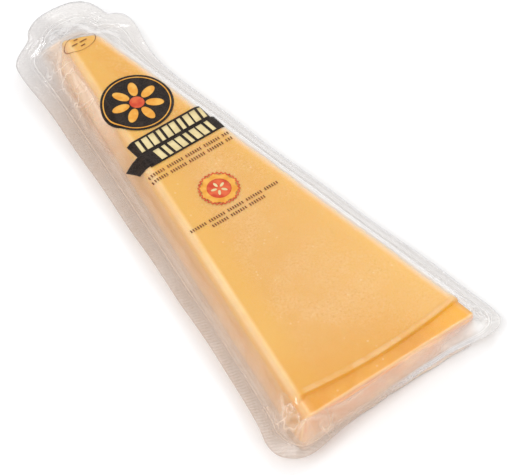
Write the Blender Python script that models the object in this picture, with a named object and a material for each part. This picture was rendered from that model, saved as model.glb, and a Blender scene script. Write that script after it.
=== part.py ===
"""A vacuum-packed wedge of hard cheese, lying on its cut face.

The wedge is a sector of a cheese wheel, so its plan is set out from the wheel's
axis: the edges run along radii, the narrow end is a cut near the axis and the
wide end is the rind. Two clear films close over it. They leave the side of the
cheese part of the way down and run out together as a flat, drooping rim.
The whole pack is one closed solid: film, rim and contents together.
"""

import math

import bmesh
import bpy
import numpy as np
from mathutils import Vector

MM = 0.001

# The wedge, in millimetres from the wheel's axis; the rind end lies towards -Y.
HALF_ANGLE = math.radians(9.15)
TIP_RADIUS = 37.2
TIP_SLANT = 0.48
RIND_RADIUS = 218.3
PASTE_RADIUS = 212.5
THICKNESS = 17.4
RIND_STEP = 1.5
FOOTPRINT_CORNER = 2.4
TOP_INSET = 0.9
# The left cut stands out at the top and leans out further towards the base.
LEFT_SHOULDER = 2.1
LEFT_LEAN = 1.8

# The pack's outer edge in plan, in the same axes, once round from the tip's left.
RIM_EDGE = (
    (-9.5, -16.8), (-12.8, -21.2), (-20.8, -26.2), (-23.3, -33.0),
    (-25.2, -60.0), (-31.6, -112.0), (-40.5, -178.0), (-45.2, -203.0),
    (-47.8, -213.5), (-45.6, -220.2), (-38.0, -224.0), (-22.0, -222.3),
    (0.0, -220.6), (22.0, -220.0), (38.0, -222.0), (44.8, -220.4),
    (46.4, -214.0), (43.8, -197.0), (33.4, -136.0), (24.3, -77.0),
    (21.4, -53.0), (24.6, -35.5), (23.2, -28.8), (19.2, -26.2),
    (17.4, -18.8), (12.0, -13.7), (3.0, -12.2), (-4.0, -13.3),
)
RIM_SAMPLES = 5
RIM_THICKNESS = 0.9
SEAL_SHARE = 0.655
RIM_HEIGHT = 4.9
SEAL_HEIGHT = 6.9
TIP_LIFT = 2.6
TIP_LIFT_REACH = 34.0
RIM_WAVE = 0.45
RIM_WAVE_LENGTH = 41.0
# The upper film between the top face and the seal: share of the way out, share of the drop.
WEB_SECTION = (
    (0.88, 0.90), (0.72, 0.70), (0.52, 0.45), (0.33, 0.23), (0.17, 0.09), (0.06, 0.02),
)

# The step's cutter: a ring round the wheel's axis, wider and taller than the step.
CUTTER_OUTER = 232.0
CUTTER_TOP = 24.0
CUTTER_SWEEP = math.radians(34.0)
CUTTER_STEPS = 24


def rim_outline():
    """Points of a closed smooth curve through the rim's edge points."""
    control = np.array(RIM_EDGE)
    count = len(control)
    points = []
    for i in range(count):
        before, start, end, after = (control[(i + k) % count] for k in (-1, 0, 1, 2))
        for j in range(RIM_SAMPLES):
            t = j / RIM_SAMPLES
            slope_in = (end - before) / 2
            slope_out = (after - start) / 2
            points.append(
                start * (2 * t**3 - 3 * t**2 + 1)
                + slope_in * (t**3 - 2 * t**2 + t)
                + end * (3 * t**2 - 2 * t**3)
                + slope_out * (t**3 - t**2)
            )
    return np.array(points)


def footprint_corners(inset):
    """The wedge's four plan corners, each side moved inwards by the inset."""
    slope = math.tan(HALF_ANGLE)
    tip_line = TIP_RADIUS + inset * math.hypot(1.0, TIP_SLANT)
    left, right = (
        shoulder - inset / math.cos(HALF_ANGLE) for shoulder in (LEFT_SHOULDER, 0.0)
    )
    tip_left = -(tip_line - TIP_SLANT * left) / (1 + TIP_SLANT * slope)
    tip_right = -(tip_line + TIP_SLANT * right) / (1 - TIP_SLANT * slope)
    rind = -RIND_RADIUS + inset
    return [
        np.array((tip_left * slope - left, tip_left)),
        np.array((rind * slope - left, rind)),
        np.array((right - rind * slope, rind)),
        np.array((right - tip_right * slope, tip_right)),
    ]


def foot_on_wedge(point):
    """The nearest point of the wedge's rounded outline, and the way outwards."""
    corners = footprint_corners(FOOTPRINT_CORNER)
    best = None
    for start, end in zip(corners, corners[1:] + corners[:1]):
        along = end - start
        t = np.clip(np.dot(point - start, along) / np.dot(along, along), 0.0, 1.0)
        candidate = start + t * along
        if best is None or np.linalg.norm(point - candidate) < np.linalg.norm(point - best):
            best = candidate
    outwards = (point - best) / np.linalg.norm(point - best)
    return best + outwards * FOOTPRINT_CORNER, outwards


def rim_height(point):
    """Height of the rim's outer edge: a lifted tip and long, shallow waves."""
    from_tip = -point[1] - TIP_RADIUS / 2
    lift = TIP_LIFT * math.exp(-((from_tip / TIP_LIFT_REACH) ** 2))
    wave = RIM_WAVE * math.sin(2 * math.pi * point[1] / RIM_WAVE_LENGTH + point[0] / 9)
    return RIM_HEIGHT + lift + wave


def pack_section(width, edge_z, lean):
    """Section from the base out to the rim and back to the top: distance out, height."""
    seal = SEAL_SHARE * width
    side = min(0.5, 0.1 * width)
    seal_top = SEAL_HEIGHT + 0.35
    drop = THICKNESS - seal_top
    web = [
        (-TOP_INSET + out * (seal + TOP_INSET), THICKNESS - down * drop)
        for out, down in WEB_SECTION
    ]
    return [
        (lean - 0.6, 0.0),
        (lean + 0.1, 0.5),
        (0.8 * lean + side, 3.0),
        (0.7 * lean + 2 * side, SEAL_HEIGHT - 1.4),
        (seal, SEAL_HEIGHT - RIM_THICKNESS + 0.2),
        (width, edge_z),
        (width, edge_z + RIM_THICKNESS),
        (seal, seal_top),
        *web,
        (-TOP_INSET, THICKNESS),
    ]


def pack_rings():
    """Rings of the pack's skin, from the base, out round the rim, to the top face."""
    sections = []
    for edge in rim_outline():
        foot, outwards = foot_on_wedge(edge)
        width = np.linalg.norm(edge - foot)
        lean = LEFT_LEAN * min(max(-outwards[0], 0.0) ** 3, 1.0)
        section = pack_section(width, rim_height(edge), min(lean, 0.35 * width))
        spots = [foot + outwards * out for out, _ in section]
        sections.append([(x, y, height) for (x, y), (_, height) in zip(spots, section)])
    return list(zip(*sections))


def plan_centre():
    """Middle of the rim's box in plan; the pack's origin is put there."""
    outline = rim_outline()
    return (outline.min(axis=0) + outline.max(axis=0)) / 2


def to_part(point, centre):
    """From wheel axes in millimetres to the part's own axes in metres."""
    return Vector((point[0] - centre[0], point[1] - centre[1], point[2])) * MM


def make_object(name, build, collection):
    """A new object whose mesh is made by the given function."""
    mesh = bpy.data.meshes.new(name)
    shape = bmesh.new()
    build(shape)
    bmesh.ops.recalc_face_normals(shape, faces=shape.faces)
    shape.to_mesh(mesh)
    shape.free()
    made = bpy.data.objects.new(name, mesh)
    collection.objects.link(made)
    return made


def build_pack(shape):
    """Loft the skin's rings and close the base and the top face."""
    centre = plan_centre()
    loops = []
    for ring in pack_rings():
        verts = [shape.verts.new(to_part(point, centre)) for point in ring]
        edges = [shape.edges.new((a, b)) for a, b in zip(verts, verts[1:] + verts[:1])]
        loops.append((verts, edges))
    for (_, lower), (_, upper) in zip(loops, loops[1:]):
        bmesh.ops.bridge_loops(shape, edges=lower + upper)
    for verts in (loops[0][0], loops[-1][0]):
        shape.faces.new(verts)


def build_step_cutter(shape):
    """A ring segment that takes the rind's band down from the paste's level."""
    centre = plan_centre()
    profile = (
        (PASTE_RADIUS, THICKNESS - RIND_STEP),
        (CUTTER_OUTER, THICKNESS - RIND_STEP),
        (CUTTER_OUTER, CUTTER_TOP),
        (PASTE_RADIUS, CUTTER_TOP),
    )
    start = -math.pi / 2 - CUTTER_SWEEP / 2
    verts = []
    for radius, height in profile:
        spot = (radius * math.cos(start), radius * math.sin(start), height)
        verts.append(shape.verts.new(to_part(spot, centre)))
    face = shape.faces.new(verts)
    axis_spot = to_part((0.0, 0.0, 0.0), centre)
    bmesh.ops.spin(
        shape, geom=[face], cent=axis_spot, axis=(0, 0, 1),
        angle=CUTTER_SWEEP, steps=CUTTER_STEPS, use_duplicate=False,
    )


def make_material():
    """Pale golden paste seen through clear, glossy film."""
    material = bpy.data.materials.new("filmed cheese")
    material.use_nodes = True
    shader = material.node_tree.nodes["Principled BSDF"]
    shader.inputs["Base Color"].default_value = (0.87, 0.52, 0.19, 1.0)
    shader.inputs["Roughness"].default_value = 0.28
    shader.inputs["Metallic"].default_value = 0.0
    return material


def main():
    for old in list(bpy.data.objects):
        bpy.data.objects.remove(old, do_unlink=True)
    parts = bpy.data.collections.new("cheese_wedge_pack")
    cutters = bpy.data.collections.new("cutters")
    for collection in (parts, cutters):
        bpy.context.scene.collection.children.link(collection)

    pack = make_object("sealed_pack", build_pack, parts)
    pack.data.materials.append(make_material())
    cutter = make_object("rind_step_cutter", build_step_cutter, cutters)
    cutter.hide_render = True
    cutter.display_type = "WIRE"

    step = pack.modifiers.new("rind step", "BOOLEAN")
    step.operation = "DIFFERENCE"
    step.solver = "EXACT"
    step.object = cutter
    pack.data.shade_smooth()
    pack.data.set_sharp_from_angle(angle=math.radians(35.0))


main()
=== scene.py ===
"""A vacuum-packed wedge of hard cheese: the cheese, its two films and their print.

The plan is set out in millimetres from the axis of the wheel that the wedge was
cut from: the edges run along radii, and the rind end lies towards -Y. Every skin
here is one sheet: a grid over the flat face, whose rim is extruded outwards ring
by ring along spokes. The spokes fan round the corners and end on the pack's rim.
"""

import math

import bmesh
import bpy
import numpy as np
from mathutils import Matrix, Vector, noise
from mathutils.bvhtree import BVHTree


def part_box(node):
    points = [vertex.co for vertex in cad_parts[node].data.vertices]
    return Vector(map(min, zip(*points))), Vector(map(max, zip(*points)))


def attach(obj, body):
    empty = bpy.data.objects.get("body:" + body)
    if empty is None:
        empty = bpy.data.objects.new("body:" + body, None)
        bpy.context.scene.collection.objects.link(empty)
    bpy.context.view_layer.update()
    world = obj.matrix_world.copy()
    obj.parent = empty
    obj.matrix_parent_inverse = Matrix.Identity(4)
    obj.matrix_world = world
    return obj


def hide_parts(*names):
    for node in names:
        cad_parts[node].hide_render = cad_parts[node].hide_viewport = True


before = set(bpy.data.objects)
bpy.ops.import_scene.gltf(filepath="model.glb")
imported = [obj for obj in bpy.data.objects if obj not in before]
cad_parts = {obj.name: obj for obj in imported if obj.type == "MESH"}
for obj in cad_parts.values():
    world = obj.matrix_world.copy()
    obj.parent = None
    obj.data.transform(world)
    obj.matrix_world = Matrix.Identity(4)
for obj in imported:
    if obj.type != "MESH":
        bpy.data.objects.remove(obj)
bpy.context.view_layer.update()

MM = 0.001

# The wedge, in millimetres from the wheel's axis.
HALF_ANGLE = math.radians(9.15)
EDGE_SLOPE = math.tan(HALF_ANGLE)
TIP_RADIUS = 37.2
TIP_SLANT = 0.48
RIND_RADIUS = 218.3
PASTE_RADIUS = 212.5
THICKNESS = 17.4
RIND_STEP = 1.5
EDGE_INSET = 0.9
LEFT_SHOULDER = 2.2
TIP_CORNER = 2.4
RIND_CORNER = 2.0
FILM_THICKNESS = 0.14
FILM_GAP = 0.12

# The pack's outer edge in plan, in the same axes, once round from the tip's left.
RIM_EDGE = (
    (-9.5, -16.8), (-12.8, -21.2), (-20.8, -26.2), (-23.3, -33.0),
    (-25.2, -60.0), (-31.6, -112.0), (-40.5, -178.0), (-45.2, -203.0),
    (-47.8, -213.5), (-45.6, -220.2), (-38.0, -224.0), (-22.0, -222.3),
    (0.0, -220.6), (22.0, -220.0), (38.0, -222.0), (44.8, -220.4),
    (46.4, -214.0), (43.8, -197.0), (33.4, -136.0), (24.3, -77.0),
    (21.4, -53.0), (24.6, -35.5), (23.2, -28.8), (19.2, -26.2),
    (17.4, -18.8), (12.0, -13.7), (3.0, -12.2), (-4.0, -13.3),
)
RIM_SAMPLES = 40
RIM_HEIGHT = 4.9
SEAL_HEIGHT = 6.9
TIP_LIFT = 2.6
TIP_LIFT_REACH = 34.0
RIM_WAVE = 0.45
RIM_WAVE_LENGTH = 41.0


# ---------------------------------------------------------------- plan and place

def smooth_step(low, high, value):
    """0 below low, 1 above high, smooth between."""
    t = np.clip((np.asarray(value, float) - low) / (high - low), 0.0, 1.0)
    return t * t * (3 - 2 * t)


def rim_outline():
    """Points of a closed smooth curve through the rim's edge points."""
    control = np.array(RIM_EDGE)
    before, after, far = (np.roll(control, -k, axis=0) for k in (-1, 1, 2))
    rows = []
    for j in range(RIM_SAMPLES):
        t = j / RIM_SAMPLES
        rows.append(
            control * (2 * t**3 - 3 * t**2 + 1)
            + (after - before) / 2 * (t**3 - 2 * t**2 + t)
            + after * (3 * t**2 - 2 * t**3)
            + (far - control) / 2 * (t**3 - t**2)
        )
    return np.stack(rows, axis=1).reshape(-1, 2)


OUTLINE = rim_outline()
PACK_LOW, PACK_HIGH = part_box("sealed_pack")
PACK_CENTRE = (PACK_LOW + PACK_HIGH) / 2
OUTLINE_CENTRE = (OUTLINE.min(axis=0) + OUTLINE.max(axis=0)) / 2
AXIS_X = PACK_CENTRE.x - OUTLINE_CENTRE[0] * MM
AXIS_Y = PACK_CENTRE.y - OUTLINE_CENTRE[1] * MM
BASE_Z = PACK_LOW.z


def place(point):
    """From wheel axes in millimetres to the pack's own axes in metres."""
    x, y, z = point
    return Vector((AXIS_X + x * MM, AXIS_Y + y * MM, BASE_Z + z * MM))


def rim_height(x, y):
    """Height of the rim's outer edge: a lifted tip and long, shallow waves."""
    lift = TIP_LIFT * np.exp(-(((-y - TIP_RADIUS / 2) / TIP_LIFT_REACH) ** 2))
    wave = RIM_WAVE * np.sin(2 * math.pi * y / RIM_WAVE_LENGTH + x / 9)
    return RIM_HEIGHT + lift + wave


def ripple(x, y, z=0.0, scale=1.0, seed=0.0):
    """Smooth noise between about -1 and 1, one value for each point."""
    x, y, z = np.broadcast_arrays(x, y, z)
    out = np.empty(x.shape)
    for index in np.ndindex(x.shape):
        spot = Vector((x[index] / scale + seed, y[index] / scale - seed, z[index] / scale))
        out[index] = noise.noise(spot)
    return out


# ------------------------------------------------------------- the grid and rings

COLUMNS = 78
BODY_ROWS = 160
# Runs of rows by the rind: distance from the wheel's axis, and how many rows.
LIP_RUNS = ((203.0, 14), (211.2, 24), (214.2, 18))
FAN_RIND = 9.0
FAN_TIP = 5.6


def column_places():
    """Places across, from -1 to 1, closer together near the two sides."""
    t = np.linspace(-1, 1, COLUMNS + 1)
    return 0.62 * t + 0.38 * np.sin(t * math.pi / 2)


def row_places():
    """Distances from the wheel's axis, closer at the tip and round the lip."""
    t = np.linspace(0, 1, BODY_ROWS, endpoint=False)
    start = TIP_RADIUS + EDGE_INSET
    runs = [start + (LIP_RUNS[0][0] - start) * (0.55 * t**2 + 0.45 * t)]
    ends = [run[0] for run in LIP_RUNS[1:]] + [RIND_RADIUS]
    for (low, count), high in zip(LIP_RUNS, ends):
        runs.append(np.linspace(low, high, count, endpoint=False))
    return np.concatenate(runs + [np.array([RIND_RADIUS])])


def face_plan():
    """Plan places of the flat face's grid, rows from tip to rind."""
    across = column_places()[None, :]
    along = row_places()[:, None]
    arc = smooth_step(60.0, PASTE_RADIUS, along)
    y = -along * (1 - arc * (1 - np.cos(across * HALF_ANGLE)))
    lip = -PASTE_RADIUS * np.cos(across * HALF_ANGLE)
    beyond = np.clip((along - PASTE_RADIUS) / (RIND_RADIUS - PASTE_RADIUS), 0, 1)
    y = np.where(along > PASTE_RADIUS, lip + (-RIND_RADIUS - lip) * beyond, y)
    waver = 0.22 * np.sin(across * 7.0 + 0.6) + 0.16 * np.sin(across * 17.0 + 2.0)
    y = y + waver * smooth_step(PASTE_RADIUS, RIND_RADIUS, along)
    slant = TIP_SLANT * (1 - smooth_step(36.0, 66.0, along))
    y = y - slant * across * (along * EDGE_SLOPE - EDGE_INSET)
    right = -y * EDGE_SLOPE - EDGE_INSET
    left = right + LEFT_SHOULDER
    return round_corners((right - left) / 2 + across * (right + left) / 2, y, left, right)


def round_corners(x, y, left, right):
    """Pull the grid's square corners in to quarter rounds."""
    middle = (right - left) / 2
    side = (right + left) / 2 - np.abs(x - middle)
    rounded_x, rounded_y = x, y
    for row, sign, radius in ((0, 1, TIP_CORNER), (-1, -1, RIND_CORNER)):
        depth = (y[row] - y) * sign
        a = np.clip(1 - side / radius, 0, 1)
        b = np.clip(1 - depth / radius, 0, 1)
        new_a = a * np.sqrt(1 - b * b / 2)
        new_b = b * np.sqrt(1 - a * a / 2)
        rounded_x = rounded_x - np.sign(x - middle) * (a - new_a) * radius
        rounded_y = rounded_y - sign * (b - new_b) * radius
    return rounded_x, rounded_y


# What each film vertex knows: its share of the way to the seal, and how creased it is.
FILM_MARKS = ("reach_share", "worked", "slack")


def face_sheet(shape, plan_x, plan_y, height):
    """A grid over the flat face, its places taken from the given arrays."""
    rows, columns = plan_x.shape
    spoke = shape.verts.layers.int.new("spoke")
    for mark in FILM_MARKS:
        shape.verts.layers.float.new(mark)
    made = bmesh.ops.create_grid(
        shape, x_segments=columns - 1, y_segments=rows - 1, size=1.0,
    )
    for vert in made["verts"]:
        column = round((vert.co.x + 1) / 2 * (columns - 1))
        row = round((vert.co.y + 1) / 2 * (rows - 1))
        vert.co = place((plan_x[row, column], plan_y[row, column], height[row, column]))
        vert[spoke] = rim_index(row, column, rows, columns)
    return spoke


def rim_index(row, column, rows, columns):
    """A count of the grid's outer places, once round from the tip's left corner."""
    last_row, last_column = rows - 1, columns - 1
    if column == 0:
        return row
    if row == last_row:
        return last_row + column
    if column == last_column:
        return last_row + last_column + (last_row - row)
    if row == 0:
        return 2 * last_row + last_column + (last_column - column)
    return -1


def rim_of(values):
    """The outer places of a grid of values, in the order that rim_index counts."""
    return np.concatenate((
        values[:, 0], values[-1, 1:], values[-2::-1, -1], values[0, -2:0:-1],
    ))


def fan_directions(x, y):
    """Which way each spoke runs: square to the side, turning round the corners."""
    directions = np.empty((len(x), 2))
    corners = []
    tip_shift = TIP_SLANT * TIP_RADIUS * EDGE_SLOPE
    for side, depth, fan in (
        (-1, TIP_RADIUS - tip_shift + FAN_TIP, FAN_TIP), (-1, RIND_RADIUS - FAN_RIND, FAN_RIND),
        (1, RIND_RADIUS - FAN_RIND, FAN_RIND), (1, TIP_RADIUS + tip_shift + FAN_TIP, FAN_TIP),
    ):
        corners.append(np.array((
            side * max(depth * EDGE_SLOPE - fan / math.cos(HALF_ANGLE), 0.05), -depth,
        )))
    points = np.stack((x, y), axis=1)
    nearest = np.full(len(x), np.inf)
    for start, end in zip(corners, corners[1:] + corners[:1]):
        along = end - start
        t = np.clip((points - start) @ along / (along @ along), 0.0, 1.0)
        spot = start + t[:, None] * along
        gap = points - spot
        distance = np.linalg.norm(gap, axis=1)
        closer = distance < nearest
        directions[closer] = gap[closer] / distance[closer, None]
        nearest = np.minimum(nearest, distance)
    return directions


def reach_to_rim(x, y, directions):
    """How far each spoke runs before it meets the pack's outer edge."""
    start = OUTLINE
    edge = np.roll(OUTLINE, -1, axis=0) - start
    reach = np.full(len(x), np.inf)
    for index, (px, py) in enumerate(zip(x, y)):
        dx, dy = directions[index]
        cross = dx * edge[:, 1] - dy * edge[:, 0]
        gap = start - (px, py)
        with np.errstate(divide="ignore", invalid="ignore"):
            out = (gap[:, 0] * edge[:, 1] - gap[:, 1] * edge[:, 0]) / cross
            t = (gap[:, 0] * dy - gap[:, 1] * dx) / cross
        hits = out[(t >= -1e-6) & (t <= 1 + 1e-6) & (out > 0)]
        reach[index] = hits.min()
    return reach


def spline_weights(stations, count):
    """Weights of a clamped cubic B-spline's control points at each station."""
    degree = 3
    knots = np.concatenate((
        np.zeros(degree), np.linspace(0, 1, count - degree + 1), np.ones(degree),
    ))
    stations = np.clip(stations, 0, 1 - 1e-9)
    basis = ((knots[:-1] <= stations[:, None]) & (stations[:, None] < knots[1:])).astype(float)
    for k in range(1, degree + 1):
        left_span = knots[k:-1] - knots[:-k - 1]
        right_span = knots[k + 1:] - knots[1:-k]
        left = np.divide(stations[:, None] - knots[:-k - 1], left_span,
                         out=np.zeros((len(stations), len(left_span))), where=left_span > 0)
        right = np.divide(knots[k + 1:] - stations[:, None], right_span,
                          out=np.zeros((len(stations), len(right_span))), where=right_span > 0)
        basis = left * basis[:, :-1] + right * basis[:, 1:]
    return basis


def grow_rings(shape, spoke, rings, marks=None):
    """Extrude the sheet's outer edge once for each ring of places."""
    edges = [edge for edge in shape.edges if edge.is_boundary]
    layers = [(shape.verts.layers.float[name], values) for name, values in (marks or {}).items()]
    for count, ring in enumerate(rings):
        grown = bmesh.ops.extrude_edge_only(shape, edges=edges)["geom"]
        edges = [item for item in grown if isinstance(item, bmesh.types.BMEdge)]
        verts = [item for item in grown if isinstance(item, bmesh.types.BMVert)]
        for vert in verts:
            vert.co = place(ring[vert[spoke]])
            for layer, values in layers:
                vert[layer] = values[count, vert[spoke]]
    return edges


def finish_piece(name, shape, material, smooth_angle=None):
    """Turn a built shape into a named piece that rides on the pack's body."""
    mesh = bpy.data.meshes.new(name)
    shape.to_mesh(mesh)
    shape.free()
    mesh.shade_smooth()
    if smooth_angle is not None:
        mesh.set_sharp_from_angle(angle=math.radians(smooth_angle))
    mesh.materials.append(material)
    piece = bpy.data.objects.new(name, mesh)
    bpy.context.scene.collection.objects.link(piece)
    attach(piece, "root")
    return piece


# ------------------------------------------------------------------- surfaces

def face_height(x, y):
    """Height of the cut face: nearly flat, a raised lip, then the lower rind band."""
    radius = np.hypot(x, y)
    past_left = -x + y * EDGE_SLOPE
    past_right = x + y * EDGE_SLOPE
    past_tip = y + TIP_SLANT * x + TIP_RADIUS
    past_end = -y - RIND_RADIUS
    sag = 0.10 * ripple(x, y, scale=26.0, seed=3.0) + 0.035 * ripple(x, y, scale=7.0, seed=9.0)
    uneven = 0.28 * ripple(x, np.zeros_like(y), scale=9.0, seed=5.0)
    from_lip = radius + uneven - PASTE_RADIUS
    at_left = smooth_step(-4.0, 1.5, past_left)
    lip = 0.13 * smooth_step(-1.7, -1.1, from_lip) * (1 - at_left)
    pearl = 0.05 * ripple(x, y, scale=1.6, seed=21.0) * smooth_step(-2.0, -1.2, from_lip)
    step = (RIND_STEP + 0.1) * smooth_step(0.0, 0.75 + 2.5 * at_left, from_lip)
    step = step * (1 - 0.35 * at_left)
    band = 0.10 * ripple(x, y, scale=5.0, seed=13.0) * smooth_step(0.7, 2.5, from_lip)
    shoulder = 0.21 * np.clip(past_left + 0.8, 0, 3) ** 2
    shoulder = shoulder + 0.12 * np.clip(past_right + 2.6, 0, 3) ** 2
    shoulder = shoulder + 0.25 * np.clip(past_end + 0.7, 0, 2) ** 2
    shoulder = shoulder + 0.16 * np.clip(past_tip + 1.6, 0, 3) ** 2
    return THICKNESS - 0.14 + sag + lip + pearl - step + band - shoulder


def spoke_table():
    """The grid's plan, its outer places, and each spoke's direction and reach."""
    x, y = face_plan()
    edge_x, edge_y = rim_of(x), rim_of(y)
    directions = fan_directions(edge_x, edge_y)
    reach = reach_to_rim(edge_x, edge_y, directions)
    return x, y, edge_x, edge_y, directions, reach


GRID_X, GRID_Y, FOOT_X, FOOT_Y, WAY, REACH = spoke_table()
GRID_Z = face_height(GRID_X, GRID_Y)
FOOT_Z = rim_of(GRID_Z)
RIM_X = FOOT_X + WAY[:, 0] * REACH
RIM_Y = FOOT_Y + WAY[:, 1] * REACH
RIM_Z = rim_height(RIM_X, RIM_Y)
SEAL_SHARE = 0.655
SIDE_SLANT = 1.8
# How far each spoke's start lies inside the wedge's plan; on the left it is past it.
LEAD = EDGE_INSET - LEFT_SHOULDER * smooth_step(0.55, 0.95, -WAY[:, 0])
LEAD = LEAD - 0.6 * smooth_step(0.6, 0.95, -WAY[:, 1])
FOOT_SLOPE = np.minimum(0.0, (face_height(FOOT_X, FOOT_Y) - face_height(
    FOOT_X - 0.3 * WAY[:, 0], FOOT_Y - 0.3 * WAY[:, 1])) / 0.3)


def side_slant():
    """How far each spoke's side leans out by the base: the left cut isn't square."""
    left = smooth_step(0.4, 0.95, -WAY[:, 0])
    return SIDE_SLANT * left * smooth_step(26.0, 48.0, -FOOT_Y)


SLANT = side_slant()


def seal_place():
    """How far out the seal's inner line lies on each spoke."""
    free = REACH - LEAD
    waver = 0.25 * ripple(FOOT_X, FOOT_Y, scale=17.0, seed=31.0)
    return LEAD + free * SEAL_SHARE + waver * smooth_step(4.0, 9.0, free)


SEAL_OUT = seal_place()


def ring_stations():
    """Shares of the way out along a spoke, closest together round the seal's lines."""
    web = np.linspace(0.03, 0.60, 24)
    seal = np.linspace(0.615, 0.76, 14)
    flange = np.linspace(0.785, 1.0, 8)
    return np.concatenate((web, seal, flange))


def spoke_curve(outs, heights, stations):
    """Places along each spoke on a smooth curve drawn by control points."""
    weights = spline_weights(stations, len(outs))
    return weights @ np.stack(outs), weights @ np.stack(heights)


def along_fold(x, y, points, width):
    """1 on a crease drawn through the points, fading to 0 at its sides and ends."""
    best = np.zeros(np.shape(x))
    points = np.array(points, float)
    lengths = np.linalg.norm(np.diff(points, axis=0), axis=1)
    total = lengths.sum()
    run = 0.0
    for start, end, length in zip(points[:-1], points[1:], lengths):
        way = (end - start) / length
        t = np.clip((x - start[0]) * way[0] + (y - start[1]) * way[1], 0, length)
        gap = np.hypot(x - start[0] - way[0] * t, y - start[1] - way[1] * t)
        share = (run + t) / total
        ends = np.sqrt(np.clip(np.sin(math.pi * np.clip(share, 0.02, 0.98)), 0, 1))
        best = np.maximum(best, np.exp(-((gap / width) ** 2)) * ends)
        run += length
    return best


# Creases of the upper film: plan points, half width, height, all in millimetres.
FOLDS = (
    (((-1.5, -31.5), (1.1, -30.3), (4.0, -29.2), (6.9, -28.6)), 0.50, 0.75),
    (((6.0, -24.0), (10.5, -26.5), (12.3, -30.3), (17.0, -33.0), (22.1, -35.3)), 0.65, 0.85),
    (((-3.4, -16.8), (-8.0, -19.6), (-10.3, -22.9), (-13.5, -23.7), (-19.0, -28.0)), 0.65, 0.6),
    (((9.0, -17.5), (4.0, -16.2), (-1.0, -16.8)), 1.0, 0.4),
    (((13.0, -20.0), (14.5, -24.0), (15.5, -28.5), (19.5, -31.5)), 0.8, 0.5),
    (((-11.0, -44.0), (-11.4, -52.0), (-12.6, -62.0), (-15.5, -76.0)), 0.42, 0.35),
    (((-9.0, -38.5), (-12.5, -41.5), (-14.3, -46.5), (-14.6, -53.0)), 0.5, 0.5),
    (((-13.0, -43.0), (-15.8, -50.0), (-16.8, -58.0), (-20.0, -72.0)), 0.45, 0.4),
    (((-10.5, -47.0), (-13.0, -55.0), (-13.4, -60.5)), 0.40, 0.4),
    (((9.5, -40.0), (12.5, -43.0), (13.8, -50.0), (16.0, -62.0)), 0.45, 0.4),
    (((-36.2, -205.0), (-38.0, -209.0), (-38.0, -213.0), (-36.0, -216.5)), 0.5, 0.5),
    (((-40.5, -213.5), (-38.1, -217.8), (-33.0, -218.9), (-27.0, -219.6)), 0.5, 0.45),
    (((-29.8, -218.7), (-20.9, -219.3), (-12.2, -218.9), (-4.0, -218.9)), 0.4, 0.35),
    (((36.5, -214.0), (39.5, -216.5), (40.5, -219.0)), 0.5, 0.45),
    (((37.5, -209.0), (40.5, -212.0), (42.6, -216.5)), 0.5, 0.4),
)
# Crumpled spots of the upper film: plan place, radius, height.
CRUMPLES = (
    ((-38.2, -211.4), 1.9, 0.8),
    ((-34.7, -215.5), 1.6, 0.75),
    ((-41.0, -203.5), 1.2, 0.5),
    ((-3.2, -26.6), 3.0, 0.7),
    ((9.5, -21.5), 3.5, 0.5),
    ((38.8, -214.6), 1.5, 0.6),
)
# Stretches of the upper film that are slack and finely crinkled: plan place, radius.
SLACK_SPOTS = (
    ((-14.5, -45.0), 7.5),
    ((-15.5, -60.0), 6.0),
    ((-4.0, -27.0), 6.0),
    ((12.0, -27.0), 6.0),
    ((-37.0, -212.5), 6.5),
    ((-28.0, -219.5), 4.0),
    ((39.0, -214.0), 5.0),
)


def crease_height(x, y):
    """How much the creases and crumples raise the upper film, and how worked it is."""
    total = np.zeros(np.shape(x))
    worked = np.zeros(np.shape(x))
    for points, width, height in FOLDS:
        here = along_fold(x, y, points, width)
        total = total + height * here
        worked = np.maximum(worked, here)
    for (cx, cy), radius, height in CRUMPLES:
        gap = np.hypot(x - cx, y - cy)
        here = np.exp(-(((gap - radius * 0.75) / (radius * 0.32)) ** 2))
        total = total + height * here
        worked = np.maximum(worked, 0.8 * here)
    return total, worked


def slackness(x, y):
    """1 in the middle of a slack stretch of film, fading to 0 round it."""
    total = np.zeros(np.shape(x))
    for (cx, cy), radius in SLACK_SPOTS:
        gap = np.hypot(x - cx, y - cy)
        total = np.maximum(total, np.exp(-((gap / radius) ** 4)))
    return total


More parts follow.
